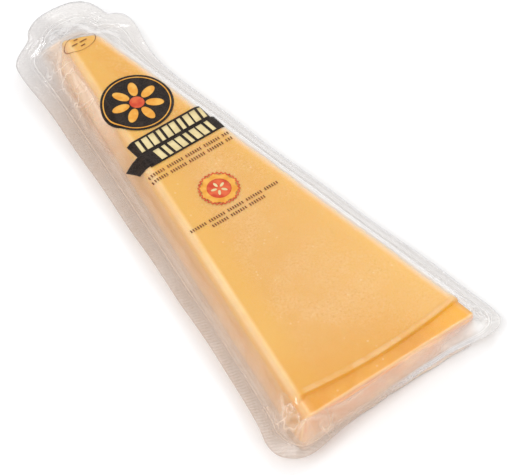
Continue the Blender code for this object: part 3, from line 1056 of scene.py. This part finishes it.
def film_material(name, film_skin, web_haze, rim_haze, face_roughness, seal_line):
    """Clear film: it mirrors by angle, and is milky and ribbed off the cheese."""
    material, nodes, links = new_material(name)
    output = nodes.new("ShaderNodeOutputMaterial")
    marks = {}
    for mark in ("reach_share", "worked", "slack"):
        attribute = nodes.new("ShaderNodeAttribute")
        attribute.attribute_name = mark
        marks[mark] = attribute.outputs["Fac"]
    skin = use_group(
        nodes, links, film_skin, vector=wheel_coordinates(nodes, links),
        reach=marks["reach_share"], worked=marks["worked"], slack=marks["slack"],
        web_haze=web_haze, rim_haze=rim_haze, face_roughness=face_roughness,
        seal_line=seal_line)
    bump = nodes.new("ShaderNodeBump")
    bump.inputs["Strength"].default_value = 0.6
    bump.inputs["Distance"].default_value = 0.00022
    links.new(skin["Relief"], bump.inputs["Height"])

    clear = nodes.new("ShaderNodeBsdfTransparent")
    clear.inputs["Color"].default_value = (0.985, 0.979, 0.975, 1.0)
    mirror = nodes.new("ShaderNodeBsdfPrincipled")
    mirror.inputs["Base Color"].default_value = (0.95, 0.95, 0.96, 1.0)
    mirror.inputs["Metallic"].default_value = 1.0
    links.new(skin["Roughness"], mirror.inputs["Roughness"])
    links.new(bump.outputs["Normal"], mirror.inputs["Normal"])
    milk = nodes.new("ShaderNodeBsdfPrincipled")
    milk.inputs["Roughness"].default_value = 0.5
    links.new(skin["Milk"], milk.inputs["Base Color"])
    links.new(bump.outputs["Normal"], milk.inputs["Normal"])

    facing = nodes.new("ShaderNodeLayerWeight")
    facing.inputs["Blend"].default_value = 0.5
    links.new(bump.outputs["Normal"], facing.inputs["Normal"])
    grazing = maths(nodes, links, "POWER", facing.outputs["Facing"], 5.0)
    shine = maths(nodes, links, "MULTIPLY_ADD", grazing, 0.90, 0.045)
    shine = maths(nodes, links, "MULTIPLY", shine, skin["Shine"])
    slanting = maths(nodes, links, "MULTIPLY_ADD", maths(
        nodes, links, "POWER", facing.outputs["Facing"], 1.5), 2.2, 0.78)
    body = nodes.new("ShaderNodeMixShader")
    links.new(maths(nodes, links, "MULTIPLY", skin["Haze"], slanting, clamp=True), body.inputs[0])
    links.new(clear.outputs["BSDF"], body.inputs[1])
    links.new(milk.outputs["BSDF"], body.inputs[2])
    whole = nodes.new("ShaderNodeMixShader")
    links.new(shine, whole.inputs[0])
    links.new(body.outputs["Shader"], whole.inputs[1])
    links.new(mirror.outputs["BSDF"], whole.inputs[2])
    links.new(whole.outputs["Shader"], output.inputs["Surface"])
    return material


def ink_skin_group(cloud_and_grain):
    """Every ink's look: two close shades in clouds, and a slightly uneven gloss."""
    group, nodes, links, entry, leave = new_group(
        "ink_skin",
        [("Vector", "Vector"), ("Colour", "Color"), ("Second Colour", "Color"),
         ("Gloss", "Float")],
        [("Colour", "Color"), ("Roughness", "Float"), ("Relief", "Float")])
    cloud = use_group(nodes, links, cloud_and_grain, vector=entry["Vector"], scale=290.0)
    links.new(blended(nodes, links, ranged(nodes, links, cloud["Cloud"], 0.35, 0.65),
                      entry["Colour"], entry["Second Colour"]), leave["Colour"])
    links.new(maths(nodes, links, "ADD", entry["Gloss"], ranged(
        nodes, links, cloud["Grain"], 0.3, 0.7, -0.05, 0.05)), leave["Roughness"])
    links.new(cloud["Grain"], leave["Relief"])
    return group


def ink_material(name, ink_skin, colour, second_colour, gloss):
    """Printed ink, slightly uneven."""
    material, nodes, links = new_material(name)
    output = nodes.new("ShaderNodeOutputMaterial")
    shader = nodes.new("ShaderNodeBsdfPrincipled")
    links.new(shader.outputs["BSDF"], output.inputs["Surface"])
    skin = use_group(nodes, links, ink_skin, vector=wheel_coordinates(nodes, links),
                     colour=(*colour, 1.0), second_colour=(*second_colour, 1.0), gloss=gloss)
    links.new(skin["Colour"], shader.inputs["Base Color"])
    links.new(skin["Roughness"], shader.inputs["Roughness"])
    shader.inputs["Specular IOR Level"].default_value = 0.22
    bump = nodes.new("ShaderNodeBump")
    bump.inputs["Strength"].default_value = 0.25
    bump.inputs["Distance"].default_value = 0.00006
    links.new(skin["Relief"], bump.inputs["Height"])
    links.new(bump.outputs["Normal"], shader.inputs["Normal"])
    return material


# ------------------------------------------------------------------- the pieces

def build_cheese(material):
    """The wedge itself, just inside the films."""
    shape = bmesh.new()
    spoke = face_sheet(shape, GRID_X, GRID_Y, GRID_Z)
    edges = grow_rings(shape, spoke, cheese_rings())
    bmesh.ops.holes_fill(shape, edges=edges, sides=0)
    bmesh.ops.recalc_face_normals(shape, faces=shape.faces)
    return finish_piece("cheese_wedge", shape, material, 50)


def build_upper_film(film_skin):
    """The printed film, over the cut face and down to the sealed rim."""
    shape = bmesh.new()
    spoke = face_sheet(shape, GRID_X, GRID_Y, GRID_Z + FILM_GAP)
    grow_rings(shape, spoke, *upper_rings())
    bmesh.ops.recalc_face_normals(shape, faces=shape.faces)
    if sum(face.normal.z for face in shape.faces) < 0:
        bmesh.ops.reverse_faces(shape, faces=shape.faces)
    tree = BVHTree.FromBMesh(shape)
    material = film_material("printed_film", film_skin, 0.20, 0.23, 0.32, 1.0)
    piece = finish_piece("upper_film", shape, material)
    return piece, tree


def build_lower_film(film_skin):
    """The plain film under the cheese, up its sides and out to the rim."""
    shape = bmesh.new()
    flat = np.full_like(GRID_Z, FILM_THICKNESS / 2)
    spoke = face_sheet(shape, GRID_X, GRID_Y, flat)
    grow_rings(shape, spoke, *lower_rings())
    bmesh.ops.recalc_face_normals(shape, faces=shape.faces)
    if sum(face.normal.z for face in shape.faces) > 0:
        bmesh.ops.reverse_faces(shape, faces=shape.faces)
    material = film_material("base_film", film_skin, 0.26, 0.21, 0.22, 0.0)
    return finish_piece("lower_film", shape, material)


def thicken(piece, thickness, offset):
    """Give a sheet its wall."""
    wall = piece.modifiers.new("wall", "SOLIDIFY")
    wall.thickness = thickness * MM
    wall.offset = offset
    wall.use_even_offset = False


# ------------------------------------------------------------------- the print

PRINT_LIFT = 0.03
INK_THICKNESS = 0.02
DISC_CENTRE = (-2.2, -76.0)
DISC_RADIUS = 13.0
STAMP_CENTRE = (-2.0, -40.2)
ROSETTE_CENTRE = (-2.3, -125.0)
# Rows of small plain ticks: where each starts and ends, how far along, how tall.
FINE_ROWS = (
    (-18.4, 15.8, -106.5, 1.3),
    (-18.7, 15.4, -109.1, 1.3),
    (-21.1, 16.1, -134.7, 1.2),
    (-13.6, 8.8, -137.1, 1.2),
)


def lay_on_film(shape, tree, level):
    """Drop a flat design, drawn in plan millimetres, onto the film's outer face."""
    lift = FILM_THICKNESS + PRINT_LIFT + level * (INK_THICKNESS + 0.012)
    for vert in shape.verts:
        above = place((vert.co.x, vert.co.y, 60.0))
        spot, normal, _, _ = tree.ray_cast(above, Vector((0, 0, -1)))
        vert.co = spot + normal * lift * MM
    bmesh.ops.recalc_face_normals(shape, faces=shape.faces)
    if sum(face.normal.z for face in shape.faces) < 0:
        bmesh.ops.reverse_faces(shape, faces=shape.faces)


def add_patch(shape, outline, centre, rings=8, segments=72, hole=0.0):
    """A round patch: an outline given as radius by angle, filled by rings to its centre."""
    made = bmesh.ops.create_circle(shape, segments=segments, radius=1.0, cap_ends=False)
    verts = made["verts"]
    edges = list({edge for vert in verts for edge in vert.link_edges})
    angles = {vert: math.atan2(vert.co.y, vert.co.x) for vert in verts}
    place_ring(angles, outline, centre, 1.0)
    for step in range(1, rings + 1):
        share = 1 - (1 - hole) * step / rings
        if share < 1e-6:
            bmesh.ops.contextual_create(shape, geom=edges)
            return
        keys = {tuple(vert.co): angle for vert, angle in angles.items()}
        grown = bmesh.ops.extrude_edge_only(shape, edges=edges)["geom"]
        edges = [item for item in grown if isinstance(item, bmesh.types.BMEdge)]
        angles = {
            item: keys[tuple(item.co)] for item in grown if isinstance(item, bmesh.types.BMVert)
        }
        place_ring(angles, outline, centre, share)


def place_ring(angles, outline, centre, share):
    for vert, angle in angles.items():
        reach = outline(angle) * share
        vert.co = (centre[0] + reach * math.cos(angle), centre[1] + reach * math.sin(angle), 0)


def add_tile(shape, centre, width, height, lean=0.0, cuts=(4, 4), turn=0.0):
    """A flat tile, leaning like a parallelogram if asked, fine enough to bend."""
    made = bmesh.ops.create_grid(shape, x_segments=cuts[0], y_segments=cuts[1], size=0.5)
    for vert in made["verts"]:
        x = vert.co.x * width + vert.co.y * lean
        y = vert.co.y * height
        vert.co = (
            centre[0] + x * math.cos(turn) - y * math.sin(turn),
            centre[1] + x * math.sin(turn) + y * math.cos(turn), 0,
        )


def print_piece(name, shape, tree, level, material):
    """Lay a finished design on the film as a thin skin of ink."""
    lay_on_film(shape, tree, level)
    piece = finish_piece(name, shape, material)
    thicken(piece, INK_THICKNESS, 1.0)
    return piece


def build_dark_print(tree, material):
    """The dark disc, the band under it and the band's end, folded down the side."""
    shape = bmesh.new()
    add_patch(shape, lambda angle: DISC_RADIUS, DISC_CENTRE, rings=26, segments=120)
    add_tile(shape, (-0.9, -93.4), 31.0, 6.9, cuts=(64, 14))
    add_tile(shape, (0.3, -100.1), 31.4, 6.6, cuts=(64, 14))
    add_tile(shape, (-17.4, -99.6), 6.4, 6.4, lean=-1.6, cuts=(18, 14))
    return print_piece("dark_print", shape, tree, 0, material)


def build_cream_print(tree, material):
    """Two rows of plain cream tiles on the band, and the rosette's small leaves."""
    shape = bmesh.new()
    for count in range(10):
        add_tile(shape, (-13.2 + 2.95 * count, -93.5), 2.3 if count % 3 else 1.5, 5.2, lean=0.5)
    for count in range(8):
        add_tile(shape, (-9.4 + 3.05 * count, -100.2), 1.5 if count % 3 == 1 else 2.4, 5.0, lean=-0.5)
    for count in range(5):
        angle = 0.4 + count * 2 * math.pi / 5
        add_patch(
            shape, lambda turn, a=angle: 1 / math.hypot(
                math.cos(turn - a) / 1.15, math.sin(turn - a) / 0.5),
            (ROSETTE_CENTRE[0] + 1.9 * math.cos(angle), ROSETTE_CENTRE[1] + 1.9 * math.sin(angle)),
            rings=3, segments=20,
        )
    return print_piece("cream_print", shape, tree, 3, material)


def build_amber_print(tree, material):
    """Amber leaves round the disc's middle, and the rosette's lobed ground."""
    shape = bmesh.new()
    leaves = 7
    for count in range(leaves):
        angle = 0.3 + count * 2 * math.pi / leaves
        reach = 6.3
        centre = (DISC_CENTRE[0] + reach * math.cos(angle), DISC_CENTRE[1] + reach * math.sin(angle))
        add_patch(
            shape, lambda turn, a=angle: 1 / math.hypot(
                math.cos(turn - a) / 3.3, math.sin(turn - a) / 1.7), centre,
            rings=6, segments=36,
        )
    add_patch(shape, lambda turn: DISC_RADIUS - 0.9, DISC_CENTRE, rings=1, segments=120, hole=0.965)
    add_patch(shape, lambda turn: 6.5 + 0.45 * math.cos(10 * turn), ROSETTE_CENTRE, rings=12, segments=120)
    return print_piece("amber_print", shape, tree, 1, material)


def build_red_print(tree, material):
    """The red middles of the disc and of the rosette, and the rosette's toothed ring."""
    shape = bmesh.new()
    add_patch(shape, lambda turn: 2.7, DISC_CENTRE, rings=6, segments=48)
    add_patch(shape, lambda turn: 4.3, ROSETTE_CENTRE, rings=9, segments=60)
    add_patch(shape, lambda turn: 7.15 + 0.30 * math.cos(30 * turn), ROSETTE_CENTRE,
              rings=2, segments=240, hole=0.92)
    return print_piece("red_print", shape, tree, 2, material)


def build_brown_print(tree, material):
    """The thin stamp ring and the rows of small plain dashes."""
    shape = bmesh.new()
    add_patch(shape, lambda turn: 1 / math.hypot(math.cos(turn) / 6.5, math.sin(turn) / 3.6),
              STAMP_CENTRE, rings=1, segments=96, hole=0.965)
    for across, along, width in ((-0.6, 1.9, 1.6), (-2.2, 0.1, 2.4), (1.4, 0.1, 3.0), (0.2, -1.7, 1.8)):
        add_tile(shape, (STAMP_CENTRE[0] + across, STAMP_CENTRE[1] + along), width, 0.4, cuts=(4, 1))
    for start, end, along, height in FINE_ROWS:
        count = 0
        across = start
        while across < end:
            count += 1
            if (count * 5) % 8 > 0:
                add_tile(shape, (across, along), 0.42, height, cuts=(1, 2))
            across += 0.98
    return print_piece("brown_print", shape, tree, 0, material)


def build_floor():
    """A plain pale floor."""
    shape = bmesh.new()
    bmesh.ops.create_grid(shape, x_segments=1, y_segments=1, size=3.0)
    bmesh.ops.translate(shape, vec=(0, 0, BASE_Z - 0.0002), verts=shape.verts)
    mesh = bpy.data.meshes.new("floor")
    shape.to_mesh(mesh)
    shape.free()
    material, nodes, links = new_material("pale_floor")
    output = nodes.new("ShaderNodeOutputMaterial")
    shader = nodes.new("ShaderNodeBsdfPrincipled")
    shader.inputs["Base Color"].default_value = (0.94, 0.94, 0.945, 1.0)
    shader.inputs["Roughness"].default_value = 0.9
    links.new(shader.outputs["BSDF"], output.inputs["Surface"])
    mesh.materials.append(material)
    floor = bpy.data.objects.new("floor", mesh)
    bpy.context.scene.collection.objects.link(floor)


# ------------------------------------------------------------- camera and lights

CAMERA_ELEVATION = math.radians(51.6)
CAMERA_AZIMUTH = math.radians(-36.9)
CAMERA_DISTANCE = 0.900
CAMERA_LENS = 182.0
CAMERA_TARGET = (-3.1, -151.2, THICKNESS)


def aim(thing, target):
    """Turn a camera or light so that it looks at a point."""
    way = Vector(target) - thing.location
    thing.rotation_euler = way.to_track_quat("-Z", "Y").to_euler()


def build_camera():
    data = bpy.data.cameras.new("camera")
    data.lens = CAMERA_LENS
    data.sensor_width = 36.0
    data.clip_start = 0.01
    camera = bpy.data.objects.new("camera", data)
    bpy.context.scene.collection.objects.link(camera)
    target = place(CAMERA_TARGET)
    flat = math.cos(CAMERA_ELEVATION)
    camera.location = target + CAMERA_DISTANCE * Vector((
        math.sin(CAMERA_AZIMUTH) * flat, -math.cos(CAMERA_AZIMUTH) * flat,
        math.sin(CAMERA_ELEVATION),
    ))
    aim(camera, target)
    bpy.context.scene.camera = camera


def add_light(name, azimuth, elevation, distance, size, power, colour=(1, 1, 1)):
    """A square soft light, placed round the pack's middle by its two angles."""
    data = bpy.data.lights.new(name, "AREA")
    data.shape = "SQUARE"
    data.size = size
    data.energy = power
    data.color = colour
    light = bpy.data.objects.new(name, data)
    bpy.context.scene.collection.objects.link(light)
    azimuth, elevation = math.radians(azimuth), math.radians(elevation)
    light.location = distance * Vector((
        math.sin(azimuth) * math.cos(elevation), -math.cos(azimuth) * math.cos(elevation),
        math.sin(elevation),
    ))
    aim(light, (0, 0, 0))
    return light


def build_lights():
    scene = bpy.context.scene
    world = bpy.data.worlds.new("studio")
    world.use_nodes = True
    background = world.node_tree.nodes["Background"]
    background.inputs["Color"].default_value = (1.0, 1.0, 1.0, 1.0)
    background.inputs["Strength"].default_value = 0.70
    scene.world = world
    scene.view_settings.view_transform = "Standard"
    add_light("key", -64, 48, 1.7, 0.9, 11.0)
    add_light("fill", 120, 50, 1.7, 0.6, 4.0)
    add_light("front", 0, 24, 1.7, 0.9, 4.5)
    add_light("left_glint", -100, 62, 1.5, 0.09, 1.3)
    add_light("right_glint", 165, 40, 1.5, 0.10, 1.3)


# -------------------------------------------------------------------- the making

def main():
    build_camera()
    build_lights()
    build_floor()
    plan_masks = plan_masks_group()
    cloud_and_grain = cloud_group()
    film_skin = film_skin_group(plan_masks, cloud_and_grain, knurl_group(), crinkle_group())
    ink_skin = ink_skin_group(cloud_and_grain)
    build_cheese(cheese_material(plan_masks, cloud_and_grain))
    upper, tree = build_upper_film(film_skin)
    lower = build_lower_film(film_skin)
    thicken(upper, FILM_THICKNESS, 1.0)
    thicken(lower, FILM_THICKNESS, 0.0)
    for build, name, colour, second_colour, gloss in (
        (build_dark_print, "dark_ink", (0.012, 0.007, 0.005), (0.026, 0.016, 0.011), 0.28),
        (build_brown_print, "brown_ink", (0.16, 0.055, 0.020), (0.25, 0.09, 0.035), 0.40),
        (build_amber_print, "amber_ink", (0.72, 0.30, 0.035), (0.80, 0.42, 0.08), 0.35),
        (build_red_print, "red_ink", (0.56, 0.055, 0.02), (0.70, 0.13, 0.045), 0.35),
        (build_cream_print, "cream_ink", (0.76, 0.63, 0.34), (0.68, 0.55, 0.28), 0.35),
    ):
        build(tree, ink_material(name, ink_skin, colour, second_colour, gloss))
    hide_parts("sealed_pack")


main()
